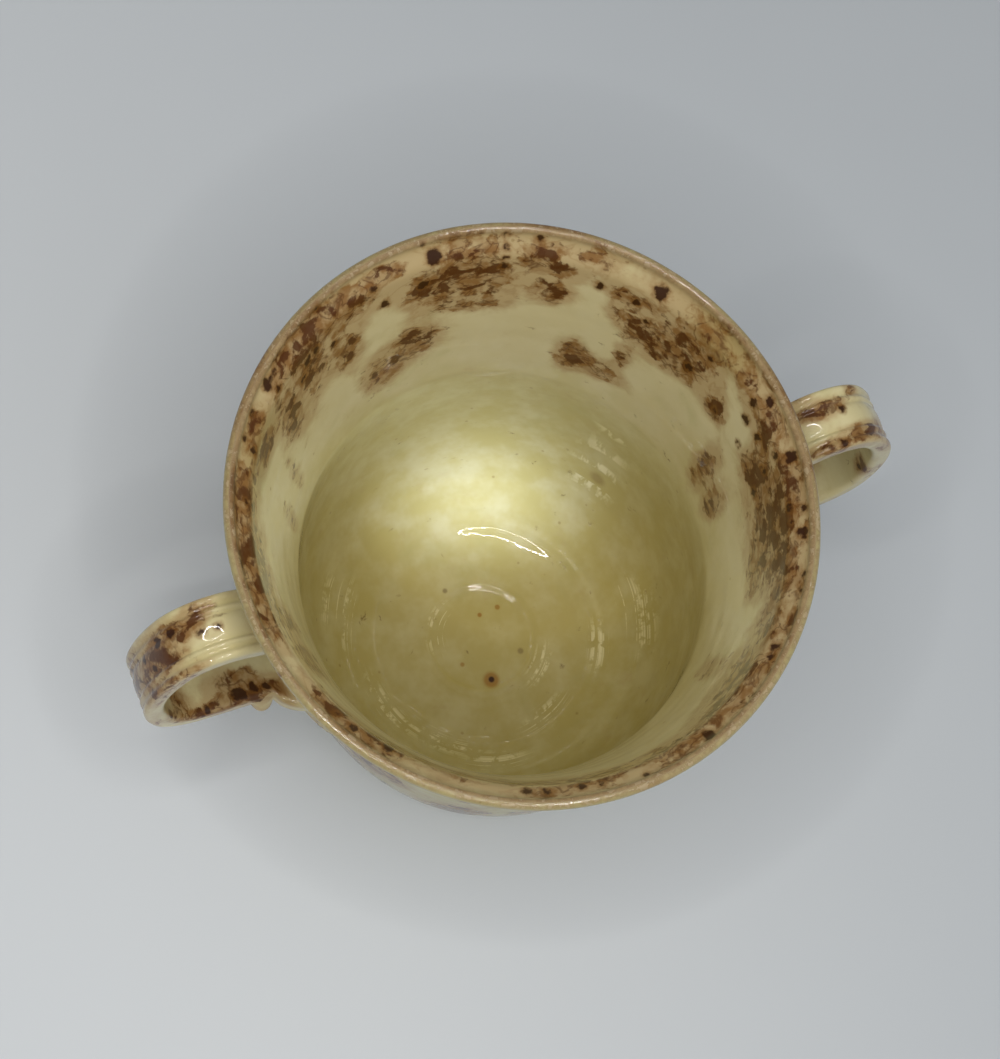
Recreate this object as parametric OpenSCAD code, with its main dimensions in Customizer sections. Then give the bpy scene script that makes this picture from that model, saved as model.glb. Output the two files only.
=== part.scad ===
// Two-handled loving cup, thrown, glazed and fired as one piece of earthenware.
// Z is up, the handles lie along X, and the origin is on the table midway between them.

/* [Bowl] */
// Width across the lip
mouth_w = 120; // [110:1:135]
// Height from the table to the top of the lip
cup_h = 122; // [112:1:140]
// Width outside at the waist, where the flared neck meets the bowl
waist_w = 97.8; // [90:0.2:105]
// Height of the waist above the table
waist_h = 75; // [68:1:84]
// Width outside where the bowl is fullest
belly_w = 98.6; // [92:0.2:106]
// Height of the fullest part of the bowl
belly_h = 57; // [50:1:62]
// Reach of the belly's upright curve downward
belly_sweep = 23; // [16:1:28]
// Reach of the bowl's curve outward from the foot
bowl_sweep = 9; // [6:0.5:11]
// Thickness of the wall
wall = 3.5; // [2.5:0.1:4.5]
// Thickness of the wall just under the lip
neck_t = 3; // [2.4:0.1:4]
// Lean of the wall outward just above the waist, in degrees
waist_lean = 9; // [5:1:14]
// Lean of the wall outward at the top of the neck, in degrees
neck_lean = 17; // [12:1:22]

/* [Lip] */
// Thickness of the rounded lip
lip_t = 2.2; // [2:0.1:3.4]
// Height of the turned-out lip above the neck
lip_h = 6; // [4:0.5:9]
// How far the lip turns out beyond the neck
lip_out = 2.4; // [1.2:0.1:3.6]

/* [Foot] */
// Width outside of the foot ring
foot_w = 76; // [68:1:80]
// Width outside of the turned neck above the foot
foot_neck_w = 72.6; // [64:0.2:76]
// Height of the turned neck above the table
foot_neck_h = 9; // [6:0.5:12]
// Height of the upright edge of the foot
foot_edge_h = 3.5; // [2:0.5:5]
// Width of the ring that the cup stands on
foot_ring = 5; // [3:0.5:8]
// Depth of the hollow under the cup
foot_hollow = 5; // [3:0.5:7]
// Rounding of the foot's edges
foot_round = 0.8; // [0.4:0.1:1.4]

/* [Floor] */
// Thickness of the floor above the hollow
floor_t = 6.2; // [4:0.2:8]
// Width of the level part of the floor
floor_w = 30; // [24:1:36]
// Width of the shallow dish in the middle of the floor
dish_w = 27; // [18:1:29]
// Depth of that dish
dish_d = 0.4; // [0.2:0.1:0.8]
// Reach of the floor's curve from the level part toward the wall
floor_sweep = 24; // [16:1:27]
// Reach of the wall's curve down toward the floor
wall_sweep = 30; // [22:1:34]

/* [Handles] */
// Width of the strap
strap_w = 13.4; // [11:0.2:16]
// Thickness of the strap
strap_t = 4.6; // [3.6:0.2:6]
// Distance from the middle between the handles to the outside of each
handle_reach = 86.6; // [82:0.2:92]
// How far the bowl stands off that middle, toward -X
bowl_shift = 3; // [0:0.5:4]
// Depth of the top of the handles below the lip
handle_drop = 15.4; // [12:0.2:20]
// Height of the handle's loop, over the outside
handle_h = 48.6; // [44:0.2:56]
// Radius of the strap's upper bend, over the outside
top_bend = 13.5; // [10:0.5:16]
// Radius of the strap's lower bend, over the outside
low_bend = 13.4; // [10:0.5:16]
// Rise of the strap where it leaves the wall, in degrees
top_rise = 27; // [15:1:32]
// Fall of the strap where the upper bend ends, in degrees
side_start = 54; // [48:1:60]
// Fall of the strap where the lower bend starts, in degrees
side_end = 104; // [98:1:110]
// Direction of the strap as it returns to the wall, in degrees of fall
low_end = 171; // [165:1:176]
// Width of the strap's raised middle band
band_w = 5; // [4:0.2:6]
// Height of the band, reeds and edge beads over the strap's face
reed_h = 0.5; // [0.3:0.1:0.8]
// Width of one reed beside the band
reed_w = 1.1; // [0.8:0.1:1.4]
// Groove between a reed and the band
reed_gap = 0.4; // [0.2:0.1:0.8]
// Width of the bead along each edge of the strap
bead_w = 2; // [1.6:0.1:2.4]
// Rounding of the strap's back edges
back_round = 1.2; // [0.6:0.1:1.6]

/* [Leaf sprigs] */
// Length of one leaf under the handle's lower end
leaf_l = 16; // [12:1:20]
// Width of one leaf
leaf_w = 8; // [6:0.5:10]
// How far a leaf stands off the wall
leaf_rise = 2; // [1.4:0.1:2.8]
// Spread of the side leaves from straight down, in degrees
leaf_spread = 58; // [45:1:70]
// Distance of the side leaves' upper tips from the strap's middle
leaf_root = 4; // [2:0.5:6]
// Height of the leaves' upper tips above the strap's lower face
leaf_lift = 1.5; // [0:0.5:3]
// Tilt of the leaves' upper ends off the wall, in degrees
leaf_tilt = 6; // [0:1:12]
// Radius of the buds on the strap's lower end
bud_r = 2.4; // [1.8:0.1:3]
// Distance from the wall at which the strap's lower end starts to widen
flare_reach = 7.6; // [5:0.2:9]
// How far the widened end stands out beyond each edge of the strap
flare_out = 5.4; // [3:0.2:6]
// Distance of the buds' middles from the wall
bud_out = 10.2; // [7:0.2:11.4]
// Depth of the buds' middles inside the strap's edge
bud_sink = 0.2; // [0:0.1:1]

/* [Hidden] */
$fn = 96;
glaze = "#d9cfa4";
steps = 14;
edge_steps = 4;
overlap = 1;
// Neighbouring bends of the strap run this far into each other
lap = 0.005;

mouth_r = mouth_w / 2;
waist_r = waist_w / 2;
belly_r = belly_w / 2;
foot_r = foot_w / 2;
foot_neck_r = foot_neck_w / 2;
floor_z = foot_hollow + floor_t;
lip_r = lip_t / 2;
lip_z = cup_h - lip_r;
neck_z = cup_h - lip_h;
neck_out_r = mouth_r - lip_out;
neck_in_r = neck_out_r - neck_t;
lip_step = lip_h / 3;

// Points of a cubic curve from a to d, without its first point
function curve(a, b, c, d, n = steps) = [
  for (i = [1 : n])
    let (t = i / n, s = 1 - t)
    s * s * s * a + 3 * s * s * t * b + 3 * s * t * t * c + t * t * t * d
];

// Points of an arc about a centre, both ends included, angles in degrees
function arc(centre, r, from, to, n = edge_steps) = [
  for (i = [0 : n])
    let (a = from + (to - from) * i / n)
    centre + r * [cos(a), sin(a)]
];

// The flared wall of the neck, from the waist up to the turned-out lip
function neck(low_r, top_r) =
  let (third = (neck_z - waist_h) / 3)
  curve(
    [low_r, waist_h],
    [low_r + third * tan(waist_lean), waist_h + third],
    [top_r - third * tan(neck_lean), neck_z - third],
    [top_r, neck_z]
  );

// Outline of the cup's outside, from the foot ring's inner edge up to the lip
function outside() = concat(
  arc([foot_r - foot_ring + foot_round, foot_round], foot_round, 180, 270),
  arc([foot_r - foot_round, foot_round], foot_round, 270, 360),
  [[foot_r, foot_edge_h]],
  curve(
    [foot_r, foot_edge_h],
    [foot_neck_r, foot_edge_h + (foot_neck_h - foot_edge_h) / 2],
    [foot_neck_r - foot_round, foot_neck_h - foot_round],
    [foot_neck_r, foot_neck_h],
    edge_steps
  ),
  curve(
    [foot_neck_r, foot_neck_h],
    [foot_neck_r + bowl_sweep, foot_neck_h + bowl_sweep / 2],
    [belly_r, belly_h - belly_sweep],
    [belly_r, belly_h]
  ),
  curve(
    [belly_r, belly_h],
    [belly_r, belly_h + (waist_h - belly_h) / 3],
    [waist_r, waist_h - (waist_h - belly_h) / 3],
    [waist_r, waist_h],
    edge_steps
  ),
  neck(waist_r, neck_out_r),
  curve(
    [neck_out_r, neck_z],
    [neck_out_r + lip_step * tan(neck_lean), neck_z + lip_step],
    [mouth_r, lip_z - lip_step],
    [mouth_r, lip_z],
    edge_steps
  ),
  arc([mouth_r - lip_r, lip_z], lip_r, 0, 180, 2 * edge_steps)
);

// Outline of the cup's inside, from the middle of the floor up to the lip
function inside() = concat(
  [
    [0, floor_z - dish_d],
    [dish_w / 2 - dish_d, floor_z - dish_d],
    [dish_w / 2, floor_z],
    [floor_w / 2, floor_z]
  ],
  curve(
    [floor_w / 2, floor_z],
    [floor_w / 2 + floor_sweep, floor_z],
    [belly_r - wall, belly_h - wall_sweep],
    [belly_r - wall, belly_h]
  ),
  curve(
    [belly_r - wall, belly_h],
    [belly_r - wall, belly_h + (waist_h - belly_h) / 3],
    [waist_r - wall, waist_h - (waist_h - belly_h) / 3],
    [waist_r - wall, waist_h],
    edge_steps
  ),
  neck(waist_r - wall, neck_in_r),
  curve(
    [neck_in_r, neck_z],
    [neck_in_r + lip_step * tan(neck_lean), neck_z + lip_step],
    [mouth_r - lip_t, lip_z - lip_step],
    [mouth_r - lip_t, lip_z],
    edge_steps
  )
);

module bowl_outside() {
  rotate_extrude()
    polygon(concat(
      [[0, foot_hollow], [foot_r - foot_ring, foot_hollow]],
      outside(),
      [[0, lip_z]]
    ));
}

module bowl_inside() {
  rotate_extrude()
    polygon(concat(
      inside(),
      [[mouth_r - lip_t, cup_h + overlap], [0, cup_h + overlap]]
    ));
}

// Arc that stands on the strap's face over a width, rising by a height at its middle
function bump(middle, width, rise, n) =
  let (r = (width * width / 4 + rise * rise) / (2 * rise), half = asin(width / 2 / r))
  arc([rise - reed_h - r, middle], r, -half, half, n);

// Edge of the strap's section at -Y: the rounded back corner, then the edge bead
function strap_edge() =
  let (r = bead_w / 2, lap = acos(1 - reed_h / r))
  concat(
    arc([back_round - strap_t, back_round - strap_w / 2], back_round, 180, 270),
    arc([-r, r - strap_w / 2], r, -90, lap, 2 * edge_steps)
  );

function flipped(points) = [for (i = [len(points) - 1 : -1 : 0]) [points[i][0], -points[i][1]]];

// Section of the reeded strap: its outer face touches x = 0 and its thickness runs to -X
module strap_section() {
  reed = bump(-(band_w + reed_w) / 2 - reed_gap, reed_w, reed_h, edge_steps);
  polygon(concat(
    strap_edge(),
    reed,
    bump(0, band_w, reed_h, 2 * edge_steps),
    flipped(reed),
    flipped(strap_edge())
  ));
}

// The strap's outer face runs through three arcs, tangent where they meet.
// A heading is the strap's fall in degrees: 0 is level outward and 90 is straight down.
function at(heading) = [sin(heading), cos(heading)];
side_bend = (
  handle_h - top_bend * (1 - cos(side_start)) - low_bend * (cos(side_end) - cos(low_end))
) / (cos(side_start) - cos(side_end));
top_z = cup_h - handle_drop;
side_c = [
  handle_reach - side_bend,
  top_z - top_bend - (side_bend - top_bend) * cos(side_start)
];
top_c = side_c + (side_bend - top_bend) * at(side_start);
low_c = side_c + (side_bend - low_bend) * at(side_end);
strap_start = top_c + top_bend * at(-top_rise);
strap_end = low_c + low_bend * at(low_end);

// One bend of the strap about a centre in the XZ plane, between two headings
module bend(centre, r, from, to) {
  lap_turn = lap / r * 180 / PI;
  translate([centre[0], 0, centre[1]])
    rotate([90, 0, 0])
      rotate_extrude(angle = to - from + 2 * lap_turn, start = 90 - to - lap_turn)
        translate([r, 0]) strap_section();
}

// A straight end of the strap, from a point on its outer face inward to x
module strap_tail(point, heading, x) {
  length = (x - point[0]) / cos(heading);
  translate([point[0], 0, point[1]])
    rotate([0, heading + 90, 0])
      translate([0, 0, min(length, 0)])
        linear_extrude(height = abs(length))
          rotate(180) strap_section();
}

// A leaf with pointed ends along Z: the crown of a lens that is sunk behind x = 0
module leaf() {
  bulge = (leaf_l * leaf_l / 4 + leaf_rise * leaf_rise) / (2 * leaf_rise);
  off = (leaf_l * leaf_l - leaf_w * leaf_w) / (4 * leaf_w);
  r = sqrt(bulge * bulge + off * off);
  translate([leaf_rise - bulge, 0, 0])
    intersection() {
      translate([0, -off, 0]) sphere(r);
      translate([0, off, 0]) sphere(r);
    }
}

// Height of the strap's lower face along its straight lower end, x from the handles' middle
function low_z(x) = strap_end[1] - (strap_end[0] - x) * tan(180 - low_end);

// The strap's lower end widens with a hollow curve where it meets the wall at wall_x
module flare(wall_x) {
  reach = (strap_end[0] - wall_x) / cos(180 - low_end);
  edge = strap_w / 2;
  side = concat(
    [[reach - flare_reach, edge - back_round]],
    curve(
      [reach - flare_reach, edge - back_round],
      [reach - flare_reach, edge + flare_out / 2],
      [reach - flare_reach / 3, edge + flare_out],
      [reach, edge + flare_out],
      2 * edge_steps
    ),
    [[reach + wall, edge + flare_out]]
  );
  translate([strap_end[0], 0, strap_end[1]])
    rotate([0, low_end, 0])
      translate([0, 0, -strap_t + back_round / 2])
        linear_extrude(height = strap_t - back_round)
          polygon(concat(side, flipped(side)));
}

// Three leaves and two buds that dress the join of a handle's lower end with the wall
module sprig(wall_x) {
  flare(wall_x);
  translate([wall_x - belly_r, 0, low_z(wall_x) + leaf_lift])
    for (side = [-1, 0, 1]) {
      spread = side * leaf_spread;
      sideways = side * leaf_root + sin(spread) * leaf_l / 2;
      rotate([0, 0, asin(sideways / belly_r)])
        translate([belly_r, 0, -cos(spread) * leaf_l / 2])
          rotate([spread, 0, 0])
            rotate([0, leaf_tilt, 0])
              leaf();
    }
  for (side = [-1, 1])
    translate([wall_x + bud_out, side * (strap_w / 2 - bud_sink), low_z(wall_x + bud_out)])
      sphere(bud_r);
}

// One handle toward +X, on a bowl whose middle is at x
module handle(x) {
  bend(top_c, top_bend, -top_rise, side_start);
  bend(side_c, side_bend, side_start, side_end);
  bend(low_c, low_bend, side_end, low_end);
  strap_tail(strap_start, -top_rise, x + min(belly_r, neck_out_r) - overlap);
  strap_tail(strap_end, low_end, x + belly_r - overlap);
  sprig(x + belly_r);
}

module loving_cup() {
  color(glaze)
    difference() {
      union() {
        translate([-bowl_shift, 0, 0]) bowl_outside();
        handle(-bowl_shift);
        mirror([1, 0, 0]) handle(bowl_shift);
      }
      translate([-bowl_shift, 0, 0]) bowl_inside();
    }
}

loving_cup();
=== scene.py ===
"""Dresses the loving cup: the thrown body, its reeded handles and leaf sprigs, and the mottled glaze."""

import math

import bpy
import numpy as np
from mathutils import Matrix, Vector


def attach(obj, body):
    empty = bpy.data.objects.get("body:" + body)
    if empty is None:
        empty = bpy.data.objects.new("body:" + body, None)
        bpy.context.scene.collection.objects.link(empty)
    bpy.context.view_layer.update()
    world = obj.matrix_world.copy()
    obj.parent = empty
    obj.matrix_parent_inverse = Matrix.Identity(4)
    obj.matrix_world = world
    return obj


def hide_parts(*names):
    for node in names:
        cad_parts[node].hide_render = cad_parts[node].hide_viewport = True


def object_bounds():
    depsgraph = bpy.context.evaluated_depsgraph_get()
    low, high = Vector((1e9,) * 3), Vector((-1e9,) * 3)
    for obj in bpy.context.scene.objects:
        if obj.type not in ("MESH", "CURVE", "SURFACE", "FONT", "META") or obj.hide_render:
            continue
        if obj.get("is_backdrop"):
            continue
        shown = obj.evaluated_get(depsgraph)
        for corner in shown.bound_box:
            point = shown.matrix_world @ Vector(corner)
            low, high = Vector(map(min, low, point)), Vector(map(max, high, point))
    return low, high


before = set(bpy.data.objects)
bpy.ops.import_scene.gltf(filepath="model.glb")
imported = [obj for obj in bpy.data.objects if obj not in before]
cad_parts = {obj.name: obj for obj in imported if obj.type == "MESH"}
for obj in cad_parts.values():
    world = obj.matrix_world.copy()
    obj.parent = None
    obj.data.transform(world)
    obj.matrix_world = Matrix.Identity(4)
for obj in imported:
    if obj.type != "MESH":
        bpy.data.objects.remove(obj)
cad_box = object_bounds()

MM = 0.001

# The bowl, in millimetres, as in the part's source
BOWL_X = -3.0
OVAL = 0.0167
MOUTH_R = 60.0
CUP_H = 122.0
WAIST_R = 48.9
WAIST_Z = 75.0
BELLY_R = 49.3
BELLY_Z = 57.0
BELLY_SWEEP = 23.0
BOWL_SWEEP = 9.0
WALL = 3.5
NECK_T = 3.0
WAIST_LEAN = math.radians(9)
NECK_LEAN = math.radians(17)
LIP_T = 2.2
LIP_H = 6.0
LIP_OUT = 2.4
FOOT_R = 38.0
FOOT_NECK_R = 36.3
FOOT_NECK_Z = 9.0
FOOT_EDGE_Z = 3.5
FOOT_RING = 5.0
FOOT_HOLLOW = 5.0
FOOT_ROUND = 0.8
FLOOR_Z = 11.2
FLOOR_R = 15.0
DISH_R = 13.5
DISH_D = 0.4
FLOOR_SWEEP = 24.0
WALL_SWEEP = 30.0

# The handles, in millimetres and degrees, as in the part's source
STRAP_W = 13.4
STRAP_T = 4.6
REACH = 86.6
STRAP_TOP_Z = CUP_H - 15.4
LOOP_H = 48.6
TOP_BEND = 13.5
LOW_BEND = 13.4
TOP_RISE = 27.0
SIDE_START = 54.0
SIDE_END = 104.0
LOW_END = 171.0
BAND_W = 5.0
REED_H = 0.5
REED_W = 1.1
REED_GAP = 0.4
BEAD_W = 2.0
BACK_ROUND = 1.2
FLARE_REACH = 7.6
FLARE_OUT = 5.4
BUD_OUT = 10.2
BUD_R = 2.4
LEAF_L = 16.0
LEAF_W = 8.0
LEAF_SPREAD = 58.0
LEAF_ROOT = 4.0
LEAF_RISE = 1.8
LEAF_LIFT = 1.5
LEAF_TILT = 6.0
# How much the top of each strap drops across its width toward -Y
STRAP_LEAN = 0.15
# Fillets at the strap's upper and lower join, in millimetres, and rows of points along each end
TOP_FILLET = 2.2
LOW_FILLET = 1.5
TOP_ROWS = 22
LOW_ROWS = 46
# Softening of the strap's section in millimetres, and its count of points
SECTION_SOFT = 0.3
SECTION_POINTS = 116

# Points round the bowl
COLUMNS = 288

# Radius at which patches are laid out, inside and outside, in millimetres
FLOW_R = 56.0
OUTER_FLOW_R = 50.0
# How far the noise of the outside, the straps and the leaves lies from the inside's
OUTER_FLOW = 300
STRAP_FLOW = 200
LEAF_FLOW = 400
# A distance from any spot at which it doesn't show, in millimetres
NO_SPOT = 4.0
HIDE_SPOT = 50


def cubic(a, b, c, d, step):
    """Points of a cubic curve from a to d, without its first point, about step apart."""
    a, b, c, d = (np.array(p, float) for p in (a, b, c, d))
    count = max(2, round(np.linalg.norm(d - a) / step))
    t = np.linspace(0, 1, count + 1)[1:, None]
    s = 1 - t
    return s**3 * a + 3 * s * s * t * b + 3 * s * t * t * c + t**3 * d


def arc(centre, radius, start, end, count):
    """Points of an arc about a centre, both ends included, angles in degrees."""
    a = np.radians(np.linspace(start, end, count + 1))
    return np.array(centre) + radius * np.stack([np.cos(a), np.sin(a)], -1)


def neck(low_r, top_r, step):
    top = CUP_H - LIP_H
    third = (top - WAIST_Z) / 3
    return cubic(
        (low_r, WAIST_Z),
        (low_r + third * math.tan(WAIST_LEAN), WAIST_Z + third),
        (top_r - third * math.tan(NECK_LEAN), top - third),
        (top_r, top),
        step,
    )


def outside():
    """Outline of the outside, from the middle under the cup up to the top of the lip."""
    lip_r = LIP_T / 2
    lip_z = CUP_H - lip_r
    neck_z = CUP_H - LIP_H
    neck_r = MOUTH_R - LIP_OUT
    step = LIP_H / 3
    third = (WAIST_Z - BELLY_Z) / 3
    hollow_r = FOOT_R - FOOT_RING
    return np.concatenate([
        np.linspace((0.5, FOOT_HOLLOW), (hollow_r - 1.5, FOOT_HOLLOW), 8),
        arc((hollow_r - 1.2, FOOT_HOLLOW - 1.2), 1.2, 90, 0, 4),
        arc((hollow_r + FOOT_ROUND, FOOT_ROUND), FOOT_ROUND, 180, 270, 5),
        arc((FOOT_R - FOOT_ROUND, FOOT_ROUND), FOOT_ROUND, 270, 360, 5),
        np.linspace((FOOT_R, 1.6), (FOOT_R, FOOT_EDGE_Z), 3),
        cubic(
            (FOOT_R, FOOT_EDGE_Z),
            (FOOT_NECK_R, (FOOT_EDGE_Z + FOOT_NECK_Z) / 2),
            (FOOT_NECK_R - FOOT_ROUND, FOOT_NECK_Z - FOOT_ROUND),
            (FOOT_NECK_R, FOOT_NECK_Z),
            0.6,
        ),
        cubic(
            (FOOT_NECK_R, FOOT_NECK_Z),
            (FOOT_NECK_R + BOWL_SWEEP, FOOT_NECK_Z + BOWL_SWEEP / 2),
            (BELLY_R, BELLY_Z - BELLY_SWEEP),
            (BELLY_R, BELLY_Z),
            1.2,
        ),
        cubic(
            (BELLY_R, BELLY_Z),
            (BELLY_R, BELLY_Z + third),
            (WAIST_R, WAIST_Z - third),
            (WAIST_R, WAIST_Z),
            0.8,
        ),
        neck(WAIST_R, neck_r, 1.0),
        cubic(
            (neck_r, neck_z),
            (neck_r + step * math.tan(NECK_LEAN), neck_z + step),
            (MOUTH_R, lip_z - step),
            (MOUTH_R, lip_z),
            0.5,
        ),
        arc((MOUTH_R - lip_r, lip_z), lip_r, 0, 90, 5)[1:],
    ])


def inside():
    """Outline of the inside, from the top of the lip down to the middle of the floor."""
    lip_r = LIP_T / 2
    lip_z = CUP_H - lip_r
    neck_z = CUP_H - LIP_H
    neck_r = MOUTH_R - LIP_OUT - NECK_T
    step = LIP_H / 3
    third = (WAIST_Z - BELLY_Z) / 3
    up = np.concatenate([
        np.linspace((0.5, FLOOR_Z - DISH_D), (DISH_R - 1.6, FLOOR_Z - DISH_D * 0.9), 16),
        cubic(
            (DISH_R - 1.6, FLOOR_Z - DISH_D * 0.9),
            (DISH_R - 0.6, FLOOR_Z - DISH_D * 0.8),
            (DISH_R - 0.5, FLOOR_Z + 0.2),
            (DISH_R + 0.6, FLOOR_Z + 0.1),
            0.4,
        ),
        cubic(
            (DISH_R + 0.6, FLOOR_Z + 0.1),
            (FLOOR_R, FLOOR_Z),
            (FLOOR_R, FLOOR_Z),
            (FLOOR_R + 1, FLOOR_Z + 0.05),
            0.6,
        ),
        cubic(
            (FLOOR_R + 1, FLOOR_Z + 0.05),
            (FLOOR_R + FLOOR_SWEEP, FLOOR_Z),
            (BELLY_R - WALL, BELLY_Z - WALL_SWEEP),
            (BELLY_R - WALL, BELLY_Z),
            0.72,
        ),
        cubic(
            (BELLY_R - WALL, BELLY_Z),
            (BELLY_R - WALL, BELLY_Z + third),
            (WAIST_R - WALL, WAIST_Z - third),
            (WAIST_R - WALL, WAIST_Z),
            0.9,
        ),
        neck(WAIST_R - WALL, neck_r, 1.0),
        cubic(
            (neck_r, neck_z),
            (neck_r + step * math.tan(NECK_LEAN), neck_z + step),
            (MOUTH_R - LIP_T, lip_z - step),
            (MOUTH_R - LIP_T, lip_z),
            0.5,
        ),
        arc((MOUTH_R - lip_r, lip_z), lip_r, 180, 90, 5)[1:-1],
    ])
    return up[::-1]


def smooth(low, high, x):
    """0 below low, 1 above high, and a smooth rise between."""
    t = np.clip((x - low) / (high - low), 0, 1)
    return t * t * (3 - 2 * t)


def wall_radius(z):
    """Radius of the outside at a height, before the bowl is made oval."""
    line = OUTSIDE[OUTSIDE[:, 1] > FOOT_NECK_Z]
    return np.interp(z, line[:, 1], line[:, 0])


def wall_distance(points, bowl_x):
    """How far points lie outside the oval wall, along the level."""
    x = (points[..., 0] - bowl_x) / (1 - OVAL)
    y = points[..., 1] / (1 + OVAL)
    return np.hypot(x, y) - wall_radius(points[..., 2])


def smoothed(points, sigma, count):
    """A closed outline softened by sigma and drawn again with count even points."""
    loop = np.concatenate([points, points[:1]])
    gaps = np.hypot(*np.diff(loop, axis=0).T)
    at = np.concatenate([[0], np.cumsum(gaps)])
    n = 2048
    even = np.arange(n) * at[-1] / n
    line = np.stack([np.interp(even, at, loop[:, i]) for i in range(2)], -1)
    freq = np.fft.fftfreq(n, at[-1] / n)
    blur = np.exp(-2 * (math.pi * freq * sigma) ** 2)
    line = np.fft.ifft(np.fft.fft(line, axis=0) * blur[:, None], axis=0).real
    # the face needs closer points than the plain back
    weight = np.where(line[:, 0] > -1.4, 2.2, 1.0)
    along = np.concatenate([[0], np.cumsum(weight)])
    pick = np.interp(np.arange(count) * along[-1] / count, along, np.arange(n + 1))
    loop = np.concatenate([line, line[:1]])
    return np.stack([np.interp(pick, np.arange(n + 1), loop[:, i]) for i in range(2)], -1)


def strap_section():
    """The strap's section: depth from its outer face and place across it."""
    edge = STRAP_W / 2
    bead = BEAD_W / 2
    lap = math.degrees(math.acos(1 - REED_H / bead))
    v = np.linspace(-edge + bead * 1.9, edge - bead * 1.9, 241)
    band = 1 - (v / (BAND_W / 2)) ** 2
    reed = 1 - ((np.abs(v) - (BAND_W + REED_W) / 2 - REED_GAP) / (REED_W / 2)) ** 2
    face = -REED_H + REED_H * np.clip(np.maximum(band, reed), 0, 1) ** 0.45
    low = np.concatenate([
        arc((BACK_ROUND - STRAP_T, BACK_ROUND - edge), BACK_ROUND, 180, 270, 12),
        arc((-bead, bead - edge), bead, -90, lap, 24),
    ])
    high = (low * (1, -1))[::-1]
    section = np.concatenate([low, np.stack([face, v], -1), high])
    # the back is slightly full, as a pressed strap is
    section[:, 0] -= 0.35 * (section[:, 0] < -STRAP_T / 2) * (1 - (section[:, 1] / edge) ** 2)
    return smoothed(section, SECTION_SOFT, SECTION_POINTS)


def normals_of(loop):
    """Outward directions of a closed outline that runs with its inside on its left."""
    run = np.roll(loop, -1, axis=0) - np.roll(loop, 1, axis=0)
    out = np.stack([run[:, 1], -run[:, 0]], -1)
    return out / np.linalg.norm(out, axis=1)[:, None]


def way(heading):
    """Direction square to the strap's outer face, in x and z, for a fall in radians."""
    return np.array([math.sin(heading), math.cos(heading)])


def strap_path():
    """Ends and bends of the strap's outer face: centres, radii and headings."""
    rise, begin, turn, back = (
        math.radians(a) for a in (-TOP_RISE, SIDE_START, SIDE_END, LOW_END)
    )
    side_bend = LOOP_H - TOP_BEND * (1 - math.cos(begin))
    side_bend -= LOW_BEND * (math.cos(turn) - math.cos(back))
    side_bend /= math.cos(begin) - math.cos(turn)
    side_c = np.array([
        REACH - side_bend,
        STRAP_TOP_Z - TOP_BEND - (side_bend - TOP_BEND) * math.cos(begin),
    ])
    top_c = side_c + (side_bend - TOP_BEND) * way(begin)
    low_c = side_c + (side_bend - LOW_BEND) * way(turn)
    return [
        (top_c, TOP_BEND, rise, begin),
        (side_c, side_bend, begin, turn),
        (low_c, LOW_BEND, turn, back),
    ]


def flare(left):
    """How far each edge of the strap widens at a distance from the wall."""
    line = cubic(
        (FLARE_REACH, 0), (FLARE_REACH, FLARE_OUT / 2), (FLARE_REACH / 3, FLARE_OUT), (0, FLARE_OUT), 0.3
    )
    line = np.concatenate([[(FLARE_REACH + 0.6, 0)], line])[::-1]
    wide = np.interp(left, line[:, 0], line[:, 1])
    bud = np.clip(1 - ((left - BUD_OUT) / BUD_R) ** 2, 0, 1) ** 0.6
    return wide, bud


def tail_point(section, out, start, heading, t, grow, wall_at):
    """Points of the strap's straight end, t from its start toward the wall."""
    across = way(heading)
    inward = np.array([-abs(across[1]), -across[0] if across[1] < 0 else across[0]])
    u, v = section[:, 0], section[:, 1]
    if wall_at is not None:
        wide, bud = flare(wall_at - t)
        side = smooth(2.6, STRAP_W / 2, np.abs(v))
        rim = smooth(4.4, 6.2, np.abs(v))
        front = smooth(-4.4, -1.0, u)
        v = v + np.sign(v) * (wide * side + 1.9 * bud * rim * front)
        u = u + 1.3 * bud * rim * front
    u = u + out[:, 0] * grow
    v = v + out[:, 1] * grow
    x = start[0] + inward[0] * t + across[0] * u
    z = start[1] + inward[1] * t + across[1] * u
    return np.stack([x, v, z], -1)


def tail_at(section, out, start, heading, gap, grow, wall_at, bowl_x):
    """How far along the straight end each point of the section is gap from the wall."""
    near = np.full(len(section), -30.0)
    far = np.full(len(section), 60.0)
    for _ in range(40):
        mid = (near + far) / 2
        points = tail_point(section, out, start, heading, mid, grow, wall_at)
        outside_wall = wall_distance(points, bowl_x) > gap
        near = np.where(outside_wall, mid, near)
        far = np.where(outside_wall, far, mid)
    return (near + far) / 2


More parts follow.
